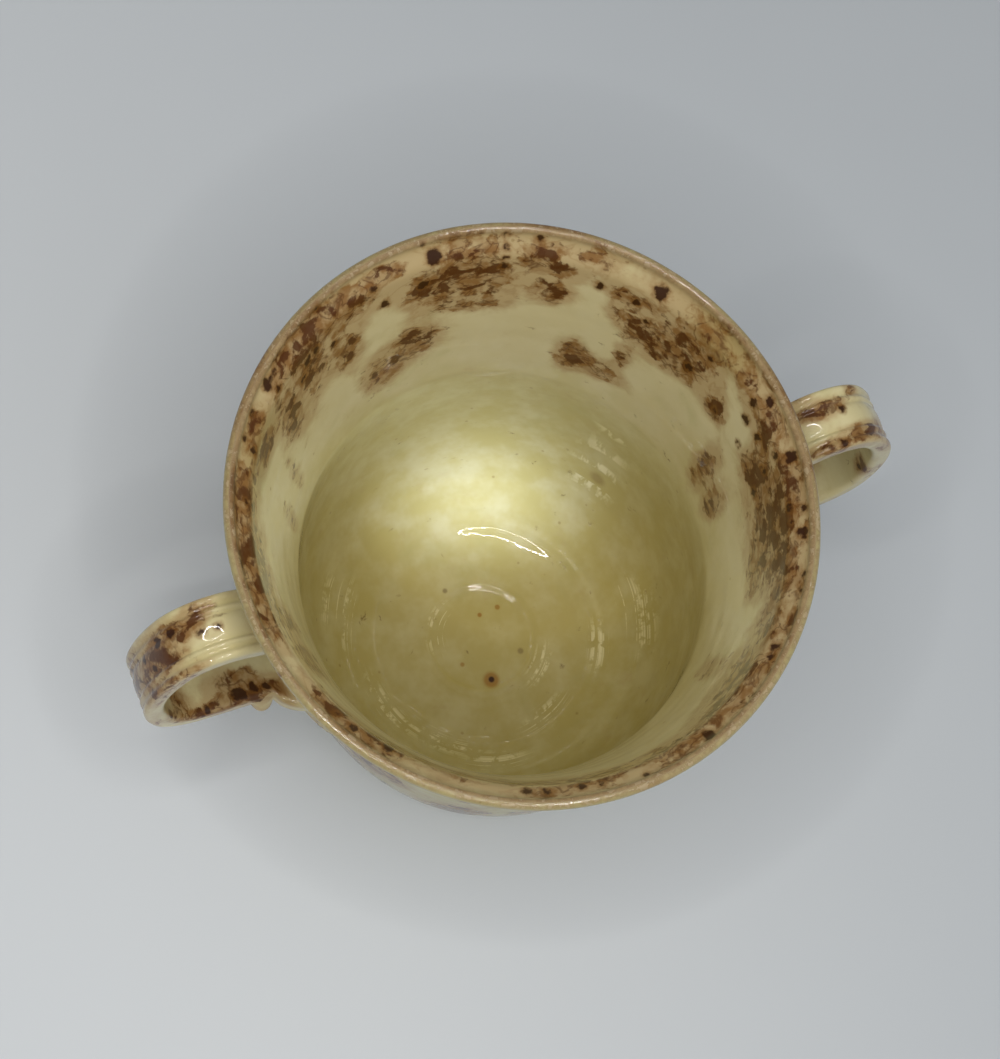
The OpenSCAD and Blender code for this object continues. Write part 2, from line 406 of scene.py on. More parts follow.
def strap_rings(bowl_x):
    """Rings of one handle toward +X, and the distance of each along the strap."""
    section = strap_section()
    out = normals_of(section)
    path = strap_path()
    rings = []
    marks = []
    for end in (0, 1):
        centre, radius, first, last = path[0] if end == 0 else path[-1]
        heading = first if end == 0 else last
        start = centre + radius * way(heading)
        fillet = TOP_FILLET if end == 0 else LOW_FILLET
        wall_at = None
        if end == 1:
            middle = tail_at(np.array([[0.0, 0.0]]), np.zeros((1, 2)), start, heading, 0, 0, None, bowl_x)
            wall_at = middle[0]
        part = []
        place = []
        reach = tail_at(section, out, start, heading, fillet, 0, wall_at, bowl_x)
        count = TOP_ROWS if end == 0 else LOW_ROWS
        for i in range(1, count + 1):
            t = reach * i / count
            part.append(tail_point(section, out, start, heading, t, 0, wall_at))
            place.append(t.mean())
        for i in range(1, 8):
            turn = math.radians(90 * i / 7)
            gap = fillet * (1 - math.sin(turn)) - 0.15 * (i == 7)
            grow = fillet * (1 - math.cos(turn))
            t = tail_at(section, out, start, heading, gap, grow, wall_at, bowl_x)
            part.append(tail_point(section, out, start, heading, t, grow, wall_at))
            place.append(t.mean())
        # the end is closed inside the wall
        t = tail_at(section, out, start, heading, -1.3, fillet, wall_at, bowl_x)
        part.append(tail_point(section, out, start, heading, t, fillet, wall_at))
        place.append(t.mean())
        rings.append(part)
        marks.append(place)
    bends = []
    along = []
    total = 0.0
    for i, (centre, radius, first, last) in enumerate(path):
        count = max(6, round(radius * (last - first) / 0.85))
        for k in range(0 if i == 0 else 1, count + 1):
            heading = first + (last - first) * k / count
            face = centre + radius * way(heading)
            across = way(heading)
            x = face[0] + across[0] * section[:, 0]
            z = face[1] + across[1] * section[:, 0]
            bends.append(np.stack([x, section[:, 1], z], -1))
            along.append(total + radius * (heading - first))
        total += radius * (last - first)
    all_rings = rings[0][::-1] + bends + rings[1]
    first_mark = max(marks[0])
    all_marks = [-m for m in marks[0][::-1]] + along + [total + m for m in marks[1]]
    return np.array(all_rings), np.array(all_marks) + first_mark, section


def leaf_rings(side, bowl_x):
    """Rings of one leaf on the wall below a handle that points toward +X."""
    centre, radius, _, heading = strap_path()[-1]
    end = centre + radius * way(heading)
    wall_x = bowl_x + BELLY_R
    root_z = end[1] - (end[0] - wall_x) * math.tan(math.pi - heading) + LEAF_LIFT
    spread = math.radians(side * LEAF_SPREAD)
    curve_r = (LEAF_L**2 + LEAF_W**2) / (4 * LEAF_W)
    top = np.linspace(-1, 1, 25)
    across = np.concatenate([top, [0.98, 0.5, 0, -0.5, -0.98]])
    rings = []
    for a in np.linspace(0.004, 0.996, 44):
        half = math.sqrt(curve_r**2 - (LEAF_L * (a - 0.5)) ** 2) - (curve_r - LEAF_W / 2)
        # the lower tip turns up a little and the edge waves
        half *= 1 + 0.05 * math.sin(a * 34)
        dome = (1 - top**2) ** 0.55
        height = LEAF_RISE * math.sin(math.pi * (0.12 + 0.88 * a)) ** 0.55 * dome
        keel = 0.45 * np.exp(-((top / 0.13) ** 2)) * (1 - a)
        vein = -0.16 * np.cos((a * 16 + np.abs(top) * 5) * math.pi) * (np.abs(top) > 0.12) * dome
        lift = LEAF_L * (1 - a) * math.sin(math.radians(LEAF_TILT))
        over = np.concatenate([height + keel + vein + lift * dome**0.4 - 0.25, np.full(5, -0.9)])
        b = across * half
        s = side * LEAF_ROOT + LEAF_L * a * math.sin(spread) + b * math.cos(spread)
        z = root_z - LEAF_L * a * math.cos(spread) + b * math.sin(spread)
        turn = s / BELLY_R
        radius_at = wall_radius(z) + over
        x = bowl_x + radius_at * np.cos(turn) * (1 - OVAL)
        y = radius_at * np.sin(turn) * (1 + OVAL)
        rings.append(np.stack([x, y, z], -1))
    return np.array(rings)


OUTSIDE = outside()
INSIDE = inside()

# Sponged brown patches inside: azimuth in degrees, depth below the lip, half width along
# the rim and half height, in millimetres, and strength
PATCHES = [
    (80, 5, 8, 5, 0.55), (81, 11, 11, 4, 0.85), (80, 18, 8, 4, 0.6), (91, 13, 4, 4, 0.8),
    (95, 29, 6, 5, 0.65), (104, 34, 5, 5, 0.75), (100, 4, 4, 2, 0.8), (112, 6, 9, 4, 0.7),
    (120, 4, 8, 4, 0.6), (113, 17, 4, 5, 0.7), (124, 12, 5, 7, 0.75), (130, 4, 5, 3, 0.6),
    (134, 16, 4, 8, 0.8), (146, 10, 4, 3, 0.8), (144, 4, 4, 2, 0.55), (160, 4, 8, 5, 0.75),
    (169, 6, 8, 6, 0.75), (142, 31, 2, 8, 0.4), (152, 35, 2, 7, 0.4), (177, 9, 6, 6, 0.7),
    (-175, 4, 5, 4, 0.65), (-177, 16, 3, 8, 0.6), (-167, 19, 4, 9, 0.6), (-154, 5, 5, 4, 0.6),
    (-147, 4, 5, 4, 0.65), (-141, 7, 5, 5, 0.7), (-126, 10, 12, 5, 0.45), (-108, 9, 9, 5, 0.45),
    (64, 5, 4, 4, 0.75), (60, 8, 4, 2, 0.8), (61, 15, 4, 3, 0.75), (53, 3, 4, 3, 0.45),
    (43, 9, 5, 2, 0.8), (41, 14, 4, 2, 0.75), (37, 17, 5, 3, 0.8), (24, 13, 6, 6, 0.9),
    (30, 18, 5, 4, 0.7), (52, 35, 3, 5, 0.8), (45, 36, 6, 3, 0.65), (39, 27, 2, 5, 0.5),
    (31, 7, 6, 5, 0.42), (20, 4, 5, 4, 0.45), (9, 4, 3, 3, 0.45), (12, 18, 3, 3, 0.7),
    (0, 6, 5, 4, 0.7), (-7, 15, 5, 5, 0.8), (-17, 11, 8, 8, 0.85), (-24, 15, 6, 8, 0.75),
    (-12, 5, 5, 4, 0.6), (4, 34, 3, 7, 0.65), (-5, 36, 3, 6, 0.65), (-29, 9, 6, 6, 0.7),
    (-32, 19, 3, 4, 0.6), (-41, 6, 6, 5, 0.65), (-52, 9, 7, 7, 0.65), (-62, 9, 8, 7, 0.65),
    (-52, 29, 3, 7, 0.45), (-76, 6, 8, 4, 0.6), (-86, 9, 7, 4, 0.5), (-98, 9, 8, 5, 0.45),
]

# Dark spots inside: azimuth in degrees, depth below the lip and radius in millimetres
SPOTS = [
    (88, 4.0, 1.6), (90, 0.8, 0.5), (91, 10.2, 1.3), (103, 5.2, 0.9), (101, 11.2, 1.2),
    (121, 8.6, 1.1), (116, 12.2, 0.9), (124, 9.0, 1.0), (127, 12.0, 0.9), (135, 2.9, 1.1),
    (134, 5.5, 0.9), (132, 3.1, 0.7), (142, 2.5, 0.7), (149, 5.0, 0.9), (147, 2.6, 0.7),
    (160, 6.8, 0.8), (160, 4.6, 0.5), (166, 11.1, 0.6), (78, 0.8, 0.6), (72, 1.6, 0.7),
    (72, 4.0, 0.6), (72, 6.2, 0.7), (72, 8.8, 1.0), (65, 1.9, 0.9), (50, 9.3, 1.0),
    (37, 4.2, 1.4), (41, 9.4, 0.9), (37, 12.7, 0.9), (23, 16.0, 1.2), (20, 8.6, 0.8),
    (6, 5.9, 1.1), (4.5, 3.2, 1.0), (5, 10.7, 1.1), (2, 17.0, 0.8), (0, 10.0, 1.1),
    (-6, 6.4, 0.9), (-8, 3.2, 1.2), (-7, 11.8, 0.9), (-10, 17.5, 1.0), (-18, 5.4, 0.8),
    (-19, 2.7, 0.9), (-24, 2.9, 1.1), (-21, 4.9, 0.5), (12, 18.4, 0.7), (52, 33.5, 0.7),
    (-176, 18.7, 0.6), (-159, 9.3, 0.5), (-152, 3.9, 0.7), (-148, 4.0, 0.9), (-140, 5.0, 1.2),
    (-111, 4.2, 0.9), (-107, 4.0, 0.8), (-100, 4.4, 0.8), (-96, 3.8, 0.7), (-92, 10.1, 0.6),
    (-87, 2.6, 0.6), (-72, 2.9, 1.3), (-51, 3.5, 0.7), (-49, 3.4, 0.8), (-36, 2.3, 0.6),
    (-33, 2.1, 0.6), (-47, 0.6, 0.4), (116, 1.2, 0.6), (-65, -1.0, 0.6),
]

# Patches along a handle, from its upper join: distance along the strap, place across it,
# half length and half width in millimetres, and strength. Spots end with a radius instead.
RIGHT_FACE = (
    [
        (21.5, 2.6, 5.5, 1.6, 0.95), (22, -5.6, 7, 1.1, 0.85), (30, -4.6, 5, 1.5, 0.85),
        (31, 5.3, 1.8, 1.1, 0.7), (34, -3.5, 4, 1.3, 0.8), (42, -4.2, 5, 2.2, 0.85),
        (16, 6.0, 5, 0.9, 0.6), (52, 1.5, 7, 4, 0.8), (63, -3, 6, 3, 0.75), (72, 3, 7, 3, 0.8),
        (86, -1, 6, 4, 0.7), (98, 3, 7, 3, 0.7),
    ],
    [(24, -5.6, 0.8), (26.5, 1.4, 0.7), (56, 1, 1.2), (64, -4, 1.0), (75, 4, 1.1), (90, -2, 1.0)],
)
RIGHT_BACK = (
    [(63, -4.8, 3, 2.0, 0.85), (40, 3, 6, 3, 0.5), (88, 4, 7, 3, 0.7)],
    [(64, -4.6, 0.9)],
)
LEFT_FACE = (
    [
        (17.5, 4.8, 2.8, 1.6, 0.8), (19, 2.8, 2.6, 1.4, 0.75), (23, 2.2, 3.4, 2.2, 0.8),
        (27.5, 1.6, 4, 2.8, 0.9), (32, 0, 4, 3.4, 0.9), (28, -2.4, 4, 1.4, 0.75),
        (39, -1, 5, 3.4, 0.85), (28, -6, 7, 0.9, 0.75), (37, -5.5, 5, 1.2, 0.8),
        (46, 1, 6, 4.5, 0.8), (58, -2, 6, 4, 0.8), (70, 2, 8, 4, 0.75), (84, -2, 7, 4, 0.7),
        (98, 2, 8, 4, 0.7),
    ],
    [
        (14.5, 0.1, 0.6), (18, 0.2, 0.8), (24.5, 2.6, 0.9), (29, 2.4, 1.1), (33, -1.6, 1.0),
        (36, 1.6, 0.9), (47, 2, 1.2), (60, -1, 1.1), (74, 3, 1.1), (90, -3, 1.0),
    ],
)
LEFT_BACK = (
    [
        (77, -5.8, 6, 1.4, 0.9), (84, -5.2, 5, 1.6, 0.95), (89, -4.6, 5, 2.2, 0.95),
        (94, -4.2, 4, 1.6, 0.85), (86, -1, 6, 2.4, 0.55), (70, -2.5, 4, 2.6, 0.75),
        (66, -5.5, 6, 1.2, 0.8), (40, 3, 6, 3, 0.5),
    ],
    [(87, -4.4, 1.6), (90.5, -3.8, 1.2), (93.5, -4.4, 0.8), (79, -5.6, 0.9)],
)

SEED = 7
rng = np.random.default_rng(SEED)


def closed_mesh(name, rings, fields):
    """A closed smooth mesh from closed rings, with a value of each field at each point."""
    n, m = rings.shape[:2]
    points = np.concatenate([rings.reshape(-1, 3), [rings[0].mean(0)], [rings[-1].mean(0)]])
    row = np.arange(n - 1)[:, None] * m
    col = np.arange(m)[None]
    after = (col + 1) % m
    quads = np.stack([row + col, row + after, row + m + after, row + m + col], -1).reshape(-1, 4)
    low = np.stack([np.full(m, n * m), after[0], col[0]], -1)
    last = (n - 1) * m
    high = np.stack([np.full(m, n * m + 1), last + col[0], last + after[0]], -1)
    tris = np.concatenate([quads[:, :3], quads[:, [0, 2, 3]], low, high])
    a, b, c = (points[tris[:, i]] for i in range(3))
    if (a * np.cross(b, c)).sum() < 0:
        quads, low, high = quads[:, ::-1], low[:, ::-1], high[:, ::-1]
    mesh = bpy.data.meshes.new(name)
    mesh.from_pydata((points * MM).tolist(), [], quads.tolist() + low.tolist() + high.tolist())
    mesh.polygons.foreach_set("use_smooth", np.ones(len(mesh.polygons), bool))
    for key, values in fields.items():
        flat = values.reshape(n * m, -1)
        ends = [values[0].reshape(m, -1).mean(0), values[-1].reshape(m, -1).mean(0)]
        flat = np.concatenate([flat, ends]).astype(np.float32)
        vector = flat.shape[1] == 3
        attribute = mesh.attributes.new(key, "FLOAT_VECTOR" if vector else "FLOAT", "POINT")
        attribute.data.foreach_set("vector" if vector else "value", flat.ravel())
    mesh.update()
    item = bpy.data.objects.new(name, mesh)
    bpy.context.scene.collection.objects.link(item)
    return item


def soft_union(fields):
    """Several patch strengths laid over each other."""
    bare = 1.0
    for field in fields:
        bare = bare * (1 - field)
    return 1 - bare


def blot(across, along, half_across, half_along, strength):
    """A flat-topped patch that fades about its half width and half height."""
    q = (across / half_across) ** 2 + (along / half_along) ** 2
    return strength * np.exp(-0.7 * q * q)


def wrap(angle):
    return (angle + 180) % 360 - 180


def dress(item):
    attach(item, "root")
    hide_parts("loving_cup")
    item.data.materials.append(glaze)


def body_fields(line, turn, is_inside):
    """Values for the glaze over the body's rows and columns."""
    deg = np.degrees(turn)[None]
    depth = (CUP_H - line[:, 1])[:, None]
    step = np.hypot(*np.diff(line, axis=0).T)
    run = np.concatenate([[0], np.cumsum(step)])[:, None]
    lip = np.argmax(line[:, 1])
    run = run - run[lip]
    shape = (len(line), len(turn))
    ones = np.ones(shape)
    side = is_inside[:, None] * ones
    flow = np.stack([
        line[:, :1] * np.cos(turn)[None] + OUTER_FLOW * (1 - side),
        line[:, :1] * np.sin(turn)[None],
        line[:, 1:] * ones,
    ], -1)
    cloud_in = soft_union([
        blot(wrap(deg - az) * math.radians(FLOW_R), depth - d, wide, high, strength)
        for az, d, wide, high, strength in PATCHES
    ])
    cloud_out = soft_union([
        blot(wrap(deg - az) * math.radians(OUTER_FLOW_R), depth - d, wide, high, strength)
        for az, d, wide, high, strength in OUTER_PATCHES
    ])
    halo = soft_union([
        blot(wrap(deg - az) * math.radians(FLOW_R), depth - d, wide * 1.6, high * 1.5, strength)
        for az, d, wide, high, strength in PATCHES
    ])
    halo_out = soft_union([
        blot(wrap(deg - az) * math.radians(OUTER_FLOW_R), depth - d, wide * 1.5, high * 1.5, strength)
        for az, d, wide, high, strength in OUTER_PATCHES
    ])
    spot = np.full(shape, NO_SPOT)
    for az, d, radius in SPOTS:
        gap = np.hypot(wrap(deg - az) * math.radians(FLOW_R), depth - d) - radius
        spot = np.minimum(spot, gap + HIDE_SPOT * (1 - side))
    for az, d, radius in OUTER_SPOTS:
        gap = np.hypot(wrap(deg - az) * math.radians(OUTER_FLOW_R), depth - d) - radius
        spot = np.minimum(spot, gap + HIDE_SPOT * side)
    pool_in = smooth(18, 70, depth) * ones
    pool_out = 0.25 + 0.5 * smooth(60, 112, depth) * ones
    green = np.zeros(shape)
    for az, d, wide, high in GREEN:
        green = np.maximum(green, blot(wrap(deg - az) * math.radians(FLOW_R), depth - d, wide, high, 1.0))
    glint = soft_union([
        blot(wrap(deg - az) * math.radians(at), line[:, :1] - at, wide, 2.2, 0.9)
        for az, at, wide in GLINTS
    ])
    # the wash gathers round the patches, toward the lip and on the lip itself
    wash_in = soft_union([0.85 * halo, 0.24 * smooth(20, 5, depth), 0.4 * smooth(3.2, 0.6, depth)])
    return {
        "flow": flow,
        "cloud": np.where(side > 0.5, cloud_in, cloud_out),
        "spot": spot,
        "pool": np.where(side > 0.5, pool_in, pool_out),
        # the whole outside is tinted greenish: partly the glaze's own tone, partly painted shade like that
        # under the lip
        "green": np.where(side > 0.5, green, 0.6),
        "worn": np.exp(-(((run - 0.2) / 1.5) ** 4)) * ones,
        # edge: painted shade under the lip's outer edge, strongest on the side toward the lamps
        "edge": np.exp(-(((run + 2.6) / 0.9) ** 2)) * (0.55 + 0.45 * np.cos(np.radians(deg + 125))),
        "glint": glint * side * (depth > 60),
        "wash": np.where(side > 0.5, wash_in, 0.6 * halo_out),
    }


def body():
    line = np.concatenate([OUTSIDE, INSIDE])
    is_inside = np.concatenate([np.zeros(len(OUTSIDE)), np.ones(len(INSIDE))])
    turn = np.radians(np.arange(COLUMNS) * 360 / COLUMNS)
    run = np.gradient(line, axis=0)
    out = np.stack([run[:, 1], -run[:, 0]], -1)
    out /= np.linalg.norm(out, axis=1)[:, None]
    deg = np.degrees(turn)[None]
    radius = line[:, 0][:, None]
    height = line[:, 1][:, None]
    relief = np.zeros((len(line), COLUMNS))
    low_inside = (is_inside[:, None] > 0) * (height < 60)
    for ring_r, rise, wide, az, spread in RINGS:
        fade = 0.35 + 0.65 * np.exp(-((wrap(deg - az) / spread) ** 2))
        relief += low_inside * rise * fade * np.exp(-(((radius - ring_r) / wide) ** 2))
    # soft ridges from the potter's fingers run round the neck
    neck_zone = smooth(8, 16, CUP_H - height) * smooth(52, 44, CUP_H - height) * is_inside[:, None]
    sway = 1.5 * np.sin(np.radians(deg)) + 0.8 * np.sin(np.radians(deg * 3 + 40))
    relief += 0.016 * neck_zone * (np.sin(height * 1.1 + sway) + np.sin(height * 0.63 - sway))
    crease = np.exp(-(((height - WAIST_Z) / 1.1) ** 2)) * is_inside[:, None]
    relief -= 0.06 * crease
    relief += 0.06 * np.exp(-(((CUP_H - height - 6.5) / 0.8) ** 2)) * is_inside[:, None]
    r = radius + relief * out[:, 0][:, None]
    z = height + relief * out[:, 1][:, None]
    rings = np.stack([
        BOWL_X + r * np.cos(turn) * (1 - OVAL),
        r * np.sin(turn) * (1 + OVAL),
        z + 0 * turn,
    ], -1)
    return closed_mesh("cup_body", rings, body_fields(line, turn, is_inside))


def strap_fields(along, section, face, back):
    """Values for the glaze over a strap, from the patches and spots of its two sides."""
    s = along[:, None]
    v = section[:, 1][None]
    u = section[:, 0][None]
    ones = np.ones((len(along), len(section)))
    behind = smooth(-STRAP_T * 0.55, -STRAP_T * 0.8, u)
    clouds = []
    halos = []
    spots = []
    for patches, dots in (face, back):
        cloud = soft_union([blot(s - a, v - b, la, wb, q) for a, b, la, wb, q in patches])
        halo = soft_union([blot(s - a, v - b, la * 1.4, wb * 1.6, q) for a, b, la, wb, q in patches])
        clouds.append(cloud * ones)
        halos.append(halo * ones)
        spot = np.full(ones.shape, NO_SPOT)
        for a, b, radius in dots:
            spot = np.minimum(spot, np.hypot(s - a, v - b) - radius)
        spots.append(spot)
    groove = np.clip(-u / REED_H, 0, 1) * (np.abs(v) < STRAP_W / 2 - BEAD_W * 0.4)
    return {
        "flow": np.stack([v * ones, s * ones + STRAP_FLOW, u * ones * 2], -1),
        "cloud": 0.88 * (clouds[0] * (1 - behind) + clouds[1] * behind),
        "spot": spots[0] * (1 - behind) + spots[1] * behind,
        "pool": (0.02 + 0.3 * groove) * (1 - behind) + 0.3 * behind * ones,
        "green": np.zeros(ones.shape),
        "worn": 0.0 * ones,
        "edge": 0.0 * ones,
        "glint": 0.0 * ones,
        "wash": 0.12 + 0.55 * (halos[0] * (1 - behind) + halos[1] * behind),
    }


def strap(name, bowl_x, flip, face, back):
    rings, along, section = strap_rings(bowl_x)
    lean = STRAP_LEAN * smooth(0.5, 5.0, along) * smooth(46, 22, along)
    rings[..., 2] += lean[:, None] * rings[..., 1]
    rings = rings * (flip, 1, 1)
    return closed_mesh(name, rings, strap_fields(along, section, face, back))


def leaf(name, side, bowl_x, flip):
    rings = leaf_rings(side, bowl_x)
    rings = rings * (flip, 1, 1)
    shape = rings.shape[:2]
    fields = {
        "flow": rings + (0, 0, LEAF_FLOW),
        "cloud": np.full(shape, 0.35),
        "spot": np.full(shape, NO_SPOT),
        "pool": np.full(shape, 0.4),
        "green": np.full(shape, 0.3),
        "worn": np.zeros(shape),
        "edge": np.zeros(shape),
        "glint": np.zeros(shape),
        "wash": np.full(shape, 0.2),
    }
    return closed_mesh(name, rings, fields)


def linear(r, g, b):
    """A colour written as it looks, from 0 to 255, as the shader takes it."""
    parts = [c / 255 for c in (r, g, b)]
    return tuple(c / 12.92 if c < 0.04045 else ((c + 0.055) / 1.055) ** 2.4 for c in parts) + (1,)


class Nodes:
    """Short ways to add the nodes of one material."""

    def __init__(self, material):
        material.use_nodes = True
        self.tree = material.node_tree
        self.tree.nodes.clear()

    def add(self, kind, inputs=(), **settings):
        node = self.tree.nodes.new(kind)
        for key, value in settings.items():
            setattr(node, key, value)
        for key, value in dict(inputs).items():
            socket = node.inputs[key]
            if isinstance(value, bpy.types.NodeSocket):
                self.tree.links.new(value, socket)
            else:
                socket.default_value = value
        return node

    def field(self, name, vector=False):
        node = self.add("ShaderNodeAttribute", attribute_name=name)
        return node.outputs["Vector" if vector else "Fac"]

    def sum(self, operation, a, b, c=0.0):
        return self.add("ShaderNodeMath", {0: a, 1: b, 2: c}, operation=operation).outputs[0]

    def scaled(self, vector, scale, move=(0, 0, 0)):
        moved = self.add("ShaderNodeVectorMath", {0: vector, 1: scale, 2: move}, operation="MULTIPLY_ADD")
        return moved.outputs[0]

    def noise(self, vector, scale, detail=2.0, rough=0.5, twist=0.0):
        node = self.add(
            "ShaderNodeTexNoise",
            {"Vector": vector, "Scale": scale, "Detail": detail, "Roughness": rough, "Distortion": twist},
        )
        return node.outputs["Fac"]

    def ramp(self, value, low, high, out_low=0.0, out_high=1.0):
        node = self.add(
            "ShaderNodeMapRange",
            {"Value": value, "From Min": low, "From Max": high, "To Min": out_low, "To Max": out_high},
            interpolation_type="SMOOTHSTEP",
        )
        return node.outputs["Result"]

    def mix(self, factor, a, b):
        node = self.add("ShaderNodeMix", data_type="RGBA")
        for socket, value in ((node.inputs[0], factor), (node.inputs[6], a), (node.inputs[7], b)):
            if isinstance(value, bpy.types.NodeSocket):
                self.tree.links.new(value, socket)
            else:
                socket.default_value = value
        return node.outputs[2]


def glaze_material():
    """Clear lead glaze over cream earthenware, with sponged brown that has bled into it."""
    material = bpy.data.materials.new("mottled_glaze")
    n = Nodes(material)
    flow = n.field("flow", True)
    cloud = n.field("cloud")
    spot = n.field("spot")
    pool = n.field("pool")
    green = n.field("green")
    worn = n.field("worn")
    lip_shadow_line = n.field("edge")
    wash_field = n.field("wash")

    # the glaze is pale where it is thin and yellow where it has pooled
    drift = n.noise(flow, 0.03, 2, 0.55)
    depth = n.sum("ADD", pool, n.ramp(drift, 0.3, 0.7, -0.14, 0.14))
    base = n.mix(n.ramp(depth, 0.0, 1.0), CREAM, OLIVE)
    base = n.mix(n.ramp(n.noise(flow, 0.11, 3, 0.6), 0.35, 0.75, 0, 0.3), base, PALE)
    base = n.mix(n.ramp(n.noise(flow, 0.07, 3, 0.6, 0.4), 0.55, 0.8, 0, 0.25), base, GREENISH)
    base = n.mix(n.sum("MULTIPLY", green, 0.8), base, GREENISH)

    # watery tan wash with veins, then brown dabs drawn out along the rim, then dark hearts
    long = n.scaled(flow, (1, 1, 1.25))
    wash_noise = n.noise(long, 0.12, 4, 0.6, 0.3)
    wash_level = n.sum("MULTIPLY_ADD", wash_noise, 1.3, n.sum("MULTIPLY_ADD", cloud, 0.4, wash_field))
    wash = n.ramp(wash_level, 0.76, 1.25)
    vein_noise = n.noise(n.scaled(flow, (1, 1, 1.6), (9, 4, 0)), 0.13, 3, 0.5, 0.4)
    ridge = n.sum("ABSOLUTE", n.sum("SUBTRACT", vein_noise, 0.5), 0.0)
    vein = n.sum("MULTIPLY", n.ramp(ridge, 0.05, 0.0), n.ramp(wash_level, 1.0, 1.35))
    curl_noise = n.noise(n.scaled(flow, (1, 1, 1.4), (0, 40, 7)), 0.2, 3, 0.5, 0.5)
    curl = n.sum("ABSOLUTE", n.sum("SUBTRACT", curl_noise, 0.52), 0.0)
    dab_noise = n.noise(long, 0.21, 4, 0.6, 0.35)
    gate = n.ramp(n.sum("MULTIPLY_ADD", wash_field, 0.5, cloud), 0.06, 0.3)
    dab_level = n.sum("MULTIPLY_ADD", dab_noise, 2.7, n.sum("MULTIPLY_ADD", wash_field, 0.3, cloud))
    streak = n.ramp(n.noise(n.scaled(flow, (1, 1, 1.2), (0, 17, 0)), 0.3, 3, 0.55, 0.2), 0.38, 0.6, 0.4, 1.0)
    dab = n.sum("MULTIPLY", n.sum("MULTIPLY", n.ramp(dab_level, 1.66, 2.1), streak), gate)
    heart_noise = n.noise(n.scaled(flow, (1, 1, 1.4), (31, 0, 0)), 0.25, 4, 0.5, 0.3)
    heart_level = n.sum("MULTIPLY_ADD", heart_noise, 3.0, n.sum("MULTIPLY_ADD", dab_noise, 1.4, cloud))
    heart = n.sum("MULTIPLY", n.ramp(heart_level, 2.9, 3.18), gate)
    colour = n.mix(n.sum("MULTIPLY", wash, 0.56), base, TAN)
    curl = n.sum("MULTIPLY", n.ramp(curl, 0.05, 0.0), n.ramp(dab_level, 1.7, 2.0))
    colour = n.mix(n.sum("MULTIPLY", vein, 0.25), colour, BROWN)
    colour = n.mix(n.sum("MULTIPLY", dab, 0.82), colour, BROWN)
    colour = n.mix(n.sum("MULTIPLY", curl, 0.6), colour, DARK)
    colour = n.mix(n.sum("MULTIPLY", heart, 0.9), colour, DARK)

    # near-black spots with a soft brown edge
    wobble = n.noise(flow, 0.7, 2, 0.5)
    edge = n.sum("MULTIPLY_ADD", wobble, 2.0, spot)
    colour = n.mix(n.ramp(edge, 2.1, 0.9, 0, 0.6), colour, BROWN)
    colour = n.mix(n.ramp(edge, 1.3, 0.7, 0, 0.95), colour, NEAR_BLACK)

    # fine specks of iron
    specks = n.add("ShaderNodeTexVoronoi", {"Vector": flow, "Scale": 0.2, "Randomness": 1.0})
    speck = n.ramp(specks.outputs["Distance"], 0.11, 0.04)
    some = n.ramp(specks.outputs["Color"], 0.6, 0.64)
    colour = n.mix(n.sum("MULTIPLY", n.sum("MULTIPLY", speck, some), 0.45), colour, SPECK)

    # single marks: a pit with its halo, small stains and a dash
    for place, size, soft, amount, tint in MARKS:
        gap = n.add("ShaderNodeVectorMath", {0: flow, 1: place}, operation="DISTANCE").outputs["Value"]
        colour = n.mix(n.ramp(gap, size + soft, size, 0, amount), colour, tint)

    # fine broken lines of light, painted on the sharp throwing rings
    level = n.scaled(flow, (1, 1, 0))
    spread = n.add("ShaderNodeVectorMath", {0: level}, operation="LENGTH").outputs["Value"]
    rings = n.add("ShaderNodeCombineXYZ", {"X": n.sum("MULTIPLY_ADD", drift, 3.0, spread)})
    ring_noise = n.noise(rings.outputs[0], 0.5, 2, 0.6)
    crest = n.ramp(n.sum("ABSOLUTE", n.sum("SUBTRACT", ring_noise, 0.5), 0.0), 0.035, 0.008)
    broken = n.ramp(n.noise(n.scaled(flow, (1, 1, 0.3), (0, 0, 60)), 0.3, 3, 0.7), 0.44, 0.56)
    crest = n.sum("MULTIPLY", n.sum("MULTIPLY", crest, broken), n.field("glint"))
    colour = n.mix(n.sum("MULTIPLY", crest, 0.55), colour, GLINT)

    # the lip is washed brown and rubbed pale in flecks; the dark line under its outer edge is painted shade
    # under the lip, strongest on the side toward the lamps
    rim_noise = n.noise(n.scaled(flow, (1, 1, 0.6)), 0.45, 3, 0.7)
    colour = n.mix(n.sum("MULTIPLY", worn, n.ramp(rim_noise, 0.3, 0.65, 0.4, 0.85)), colour, RUDDY)
    rubbed = n.sum("MULTIPLY", worn, n.ramp(rim_noise, 0.55, 0.6))
    colour = n.mix(n.sum("MULTIPLY", rubbed, 0.4), colour, RUBBED)
    colour = n.mix(n.sum("MULTIPLY", lip_shadow_line, 0.75), colour, DARK)

    bump_low = n.noise(flow, 0.09, 2, 0.5)
    bump_fine = n.noise(flow, 0.5, 2, 0.5)
    waves = n.sum("MULTIPLY_ADD", bump_fine, 0.16, bump_low)
    waves = n.sum("MULTIPLY_ADD", n.sum("MULTIPLY", worn, rim_noise), 0.5, waves)
    bump = n.add("ShaderNodeBump", {"Strength": 0.3, "Distance": 0.0006, "Height": waves})
    rough = n.ramp(n.noise(flow, 0.2, 3, 0.6), 0.3, 0.7, 0.38, 0.5)
    shader = n.add("ShaderNodeBsdfPrincipled", {
        "Base Color": colour,
        "Roughness": rough,
        "IOR": 1.5,
        "Specular IOR Level": 0.12,
        "Coat Weight": 0.7,
        "Coat Roughness": 0.03,
        "Coat IOR": 1.5,
        "Normal": bump.outputs[0],
        "Coat Normal": bump.outputs[0],
    })
    out = n.add("ShaderNodeOutputMaterial")
    n.tree.links.new(shader.outputs[0], out.inputs["Surface"])
    return material


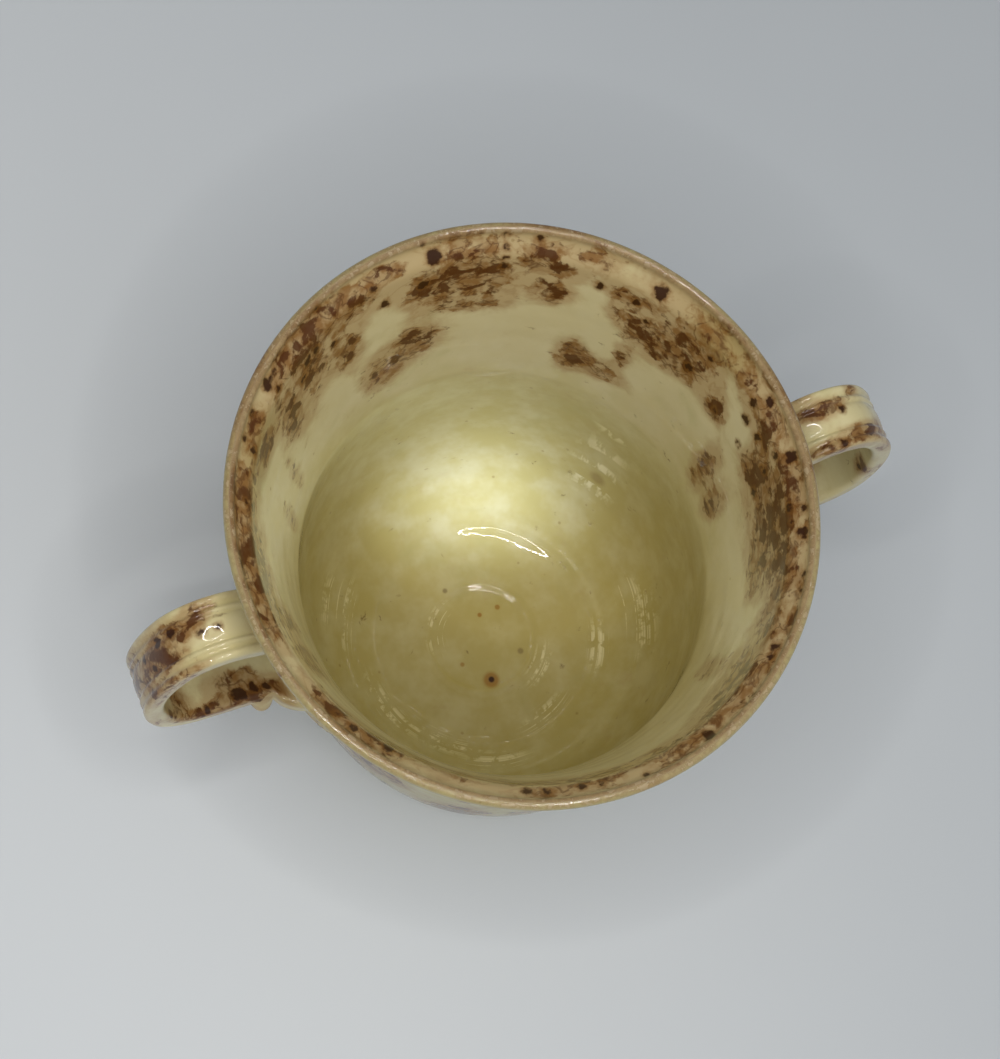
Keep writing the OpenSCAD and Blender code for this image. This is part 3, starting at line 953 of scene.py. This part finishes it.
def floor_material():
    """Pale table top painted lighter toward -X as light falling across it, with the faintest unevenness."""
    material = bpy.data.materials.new("table_top")
    n = Nodes(material)
    place = n.add("ShaderNodeTexCoord").outputs["Object"]
    across = n.add("ShaderNodeSeparateXYZ", {"Vector": place}).outputs["X"]
    # painted light: the top is lighter toward -X and darker toward +X
    shade = n.mix(n.ramp(across, -0.16, 0.14), linear(207, 210, 212), linear(186, 190, 193))
    shade = n.mix(n.ramp(n.noise(place, 3.0, 4, 0.6), 0.3, 0.7, 0, 0.12), shade, linear(214, 216, 218))
    shader = n.add("ShaderNodeBsdfPrincipled", {
        "Base Color": shade,
        "Roughness": 0.7,
        "Specular IOR Level": 0.2,
    })
    out = n.add("ShaderNodeOutputMaterial")
    n.tree.links.new(shader.outputs[0], out.inputs["Surface"])
    return material


CREAM = linear(192, 180, 136)
OLIVE = linear(168, 153, 90)
PALE = linear(204, 195, 156)
GREENISH = linear(148, 143, 86)
TAN = linear(150, 117, 72)
BROWN = linear(118, 76, 26)
DARK = linear(74, 38, 8)
NEAR_BLACK = linear(48, 22, 4)
SPECK = linear(120, 92, 44)
RUDDY = linear(120, 94, 64)
RUBBED = linear(190, 174, 140)
GLINT = linear(240, 230, 182)
RUST = linear(140, 92, 18)

# Marks inside: place from the bowl's middle, radius and softness in millimetres, strength, colour
MARKS = [
    ((-1.3, -10.8, 11.0), 1.3, 1.3, 0.75, RUST), ((-1.2, -10.7, 11.0), 0.5, 0.5, 0.95, NEAR_BLACK),
    ((1.9, 5.5, 10.9), 0.3, 0.5, 0.8, RUST), ((6.9, 5.9, 10.9), 0.4, 0.5, 0.7, RUST),
    ((-6.8, -4.8, 10.9), 0.3, 0.5, 0.6, RUST), ((8.4, -6.4, 10.9), 0.4, 0.7, 0.45, DARK),
    ((-4.3, 14.0, 11.2), 0.3, 0.6, 0.5, DARK), ((37.6, 22.3, 35.4), 1.0, 2.0, 0.5, SPECK),
    ((44.4, -4.8, 72.3), 0.3, 0.4, 0.9, NEAR_BLACK), ((44.4, -4.7, 71.2), 0.25, 0.4, 0.9, NEAR_BLACK),
]

# Throwing rings inside: radius, rise and width in millimetres, and the azimuth and spread in
# degrees where each is strongest. The first is the broad hollow before the far wall turns up.
RINGS = [
    (27.0, -0.7, 5.0, 60, 100),
    (16.0, 0.16, 0.8, 180, 70), (19.3, 0.18, 0.9, 200, 60), (21.8, 0.15, 0.8, -30, 80),
    (25.5, 0.08, 0.9, -90, 120), (29.4, 0.15, 1.0, 0, 70), (32.6, 0.17, 1.0, 180, 60),
    (36.8, 0.16, 1.2, 190, 90), (40.4, 0.12, 1.2, 0, 80), (43.6, 0.09, 1.0, 60, 90),
]

# Light lines painted on the throwing rings: azimuth in degrees, radius and half length in millimetres
GLINTS = [
    (151, 38.3, 6), (155, 34.4, 8), (-163, 30.3, 8), (-132, 28.3, 9), (-104, 31.6, 7), (-9, 37.7, 7),
    (-18, 39.8, 8), (-24, 29.5, 6), (32, 44.2, 6), (149, 11.5, 6), (-44, 16.3, 5), (-70, 25, 6),
]

# Greenish places in the glaze inside: azimuth in degrees, depth, half width and half height
GREEN = [(20, 4, 8, 4), (148, 8, 9, 5), (-140, 10, 8, 6)]

# Seeded patches and spots on the outside, laid out as PATCHES and SPOTS are
OUTER_PATCHES = [
    tuple(rng.uniform(low, high) for low, high in ((-180, 180), (2, 100), (5, 10), (3, 7), (0.4, 0.85)))
    for _ in range(120)
]
OUTER_SPOTS = [
    (rng.uniform(-180, 180), rng.uniform(2, 100), rng.uniform(0.6, 1.3)) for _ in range(90)
]

glaze = glaze_material()
pieces = [
    body(),
    strap("handle_right", BOWL_X, 1, RIGHT_FACE, RIGHT_BACK),
    strap("handle_left", -BOWL_X, -1, LEFT_FACE, LEFT_BACK),
]
for word, side in (("front", -1), ("middle", 0), ("back", 1)):
    pieces.append(leaf("leaf_right_" + word, side, BOWL_X, 1))
    pieces.append(leaf("leaf_left_" + word, side, -BOWL_X, -1))
for piece in pieces:
    dress(piece)

# Floor
FLOOR_HALF = 2.5
floor_mesh = bpy.data.meshes.new("floor")
corners = [(FLOOR_HALF * x, FLOOR_HALF * y, 0) for x, y in ((-1, -1), (1, -1), (1, 1), (-1, 1))]
floor_mesh.from_pydata(corners, [], [(0, 1, 2, 3)])
floor_mesh.materials.append(floor_material())
floor = bpy.data.objects.new("floor", floor_mesh)
bpy.context.scene.collection.objects.link(floor)
floor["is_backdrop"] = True

# Camera above the cup, a little toward the left handle and turned about its own axis
CAMERA_AT = Vector((-0.0819, -0.0990, 0.4950))
CAMERA_TO = Vector((-0.0098, -0.0036, 0.1220))
CAMERA_ROLL = math.radians(17.0)
CAMERA_LENS = 67.99
CAMERA_SENSOR = 36
CAMERA_NEAR = 0.01
view = (CAMERA_TO - CAMERA_AT).normalized()
aim = view.to_track_quat("-Z", "Y").to_matrix().to_4x4()
camera_data = bpy.data.cameras.new("camera")
camera_data.lens = CAMERA_LENS
camera_data.sensor_width = CAMERA_SENSOR
camera_data.clip_start = CAMERA_NEAR
camera = bpy.data.objects.new("camera", camera_data)
camera.matrix_world = Matrix.Translation(CAMERA_AT) @ aim @ Matrix.Rotation(CAMERA_ROLL, 4, "Z")
bpy.context.scene.collection.objects.link(camera)
bpy.context.scene.camera = camera

# A ring of small lamps beside the camera, aimed into the cup
LAMP_COUNT = 48
LAMP_POWER = 1.45
LAMP_RING = 0.118
LAMP_R = 0.0062
LAMP_COLOUR = (1.0, 0.985, 0.96)
LAMP_TO = Vector((-0.003, 0.0, 0.05))
lamp_centre = Vector((-0.078, -0.108, 0.500))
to_cup = (LAMP_TO - lamp_centre).normalized()
lamp_frame = to_cup.to_track_quat("-Z", "Y").to_matrix()
for i in range(LAMP_COUNT):
    turn = 2 * math.pi * i / LAMP_COUNT
    light = bpy.data.lights.new("lamp_%02d" % i, "AREA")
    light.shape = "DISK"
    light.size = 2 * LAMP_R
    light.energy = LAMP_POWER / LAMP_COUNT
    light.color = LAMP_COLOUR
    lamp = bpy.data.objects.new("lamp_%02d" % i, light)
    place = lamp_centre + lamp_frame @ Vector((LAMP_RING * math.cos(turn), LAMP_RING * math.sin(turn), 0))
    lamp.matrix_world = Matrix.Translation(place) @ lamp_frame.to_4x4()
    lamp.visible_camera = False
    bpy.context.scene.collection.objects.link(lamp)

# Three soft spots make the glow low on the far inner wall: aim in millimetres and share of the power
GLOWS = ((-3, 40.5, 24, 0.9), (10, 37.5, 23.5, 1.2), (22, 31.0, 25, 0.9))
GLOW_POWER = 14.0
GLOW_CONE = math.radians(5.8)
GLOW_SOFT = 0.012
GLOW_COLOUR = (0.5, 0.62, 1.0)
GLOW_SHIFT = Vector((0.03, 0.02, 0.0))
for i, (x, y, z, power) in enumerate(GLOWS):
    light = bpy.data.lights.new("glow_%d" % i, "SPOT")
    light.spot_size = GLOW_CONE
    light.spot_blend = 1.0
    light.shadow_soft_size = GLOW_SOFT
    light.energy = GLOW_POWER * power
    light.color = GLOW_COLOUR
    lamp = bpy.data.objects.new("glow_%d" % i, light)
    place = lamp_centre + GLOW_SHIFT
    aim = (Vector((x * MM, y * MM, z * MM)) - place).normalized().to_track_quat("-Z", "Y")
    lamp.matrix_world = Matrix.Translation(place) @ aim.to_matrix().to_4x4()
    lamp.visible_camera = False
    lamp.visible_glossy = False
    bpy.context.scene.collection.objects.link(lamp)

# An even pale room that is brighter toward one broad, soft window, and fainter in reflections
ROOM = 0.34
WINDOW = 1.1
WINDOW_EDGE = 8.0
REFLECTED = 0.3
window_way = Vector((0.35, -0.62, 0.70)).normalized()
world = bpy.data.worlds.new("room")
sky = Nodes(world)
toward = sky.add("ShaderNodeTexCoord").outputs["Generated"]
facing = sky.add("ShaderNodeVectorMath", {0: toward, 1: tuple(window_way)}, operation="DOT_PRODUCT")
lobe = sky.sum("POWER", sky.sum("MAXIMUM", facing.outputs["Value"], 0.0), WINDOW_EDGE)
level = sky.sum("MULTIPLY_ADD", lobe, WINDOW, ROOM)
rays = sky.add("ShaderNodeLightPath")
level = sky.sum("MULTIPLY", level, sky.ramp(rays.outputs["Is Glossy Ray"], 0.0, 1.0, 1.0, REFLECTED))
room = sky.add("ShaderNodeBackground", {"Color": (0.94, 0.97, 1.0, 1), "Strength": level})
plain = sky.add("ShaderNodeBackground", {"Color": linear(184, 187, 190), "Strength": 1.0})
seen = rays.outputs["Is Camera Ray"]
both = sky.add("ShaderNodeMixShader", {0: seen, 1: room.outputs[0], 2: plain.outputs[0]})
world_out = sky.add("ShaderNodeOutputWorld")
sky.tree.links.new(both.outputs[0], world_out.inputs["Surface"])
bpy.context.scene.world = world
bpy.context.scene.view_settings.view_transform = "Standard"

boxes = {"cad": cad_box, "visual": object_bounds()}
boxes = {name: [[float(x) for x in corner] for corner in box] for name, box in boxes.items()}
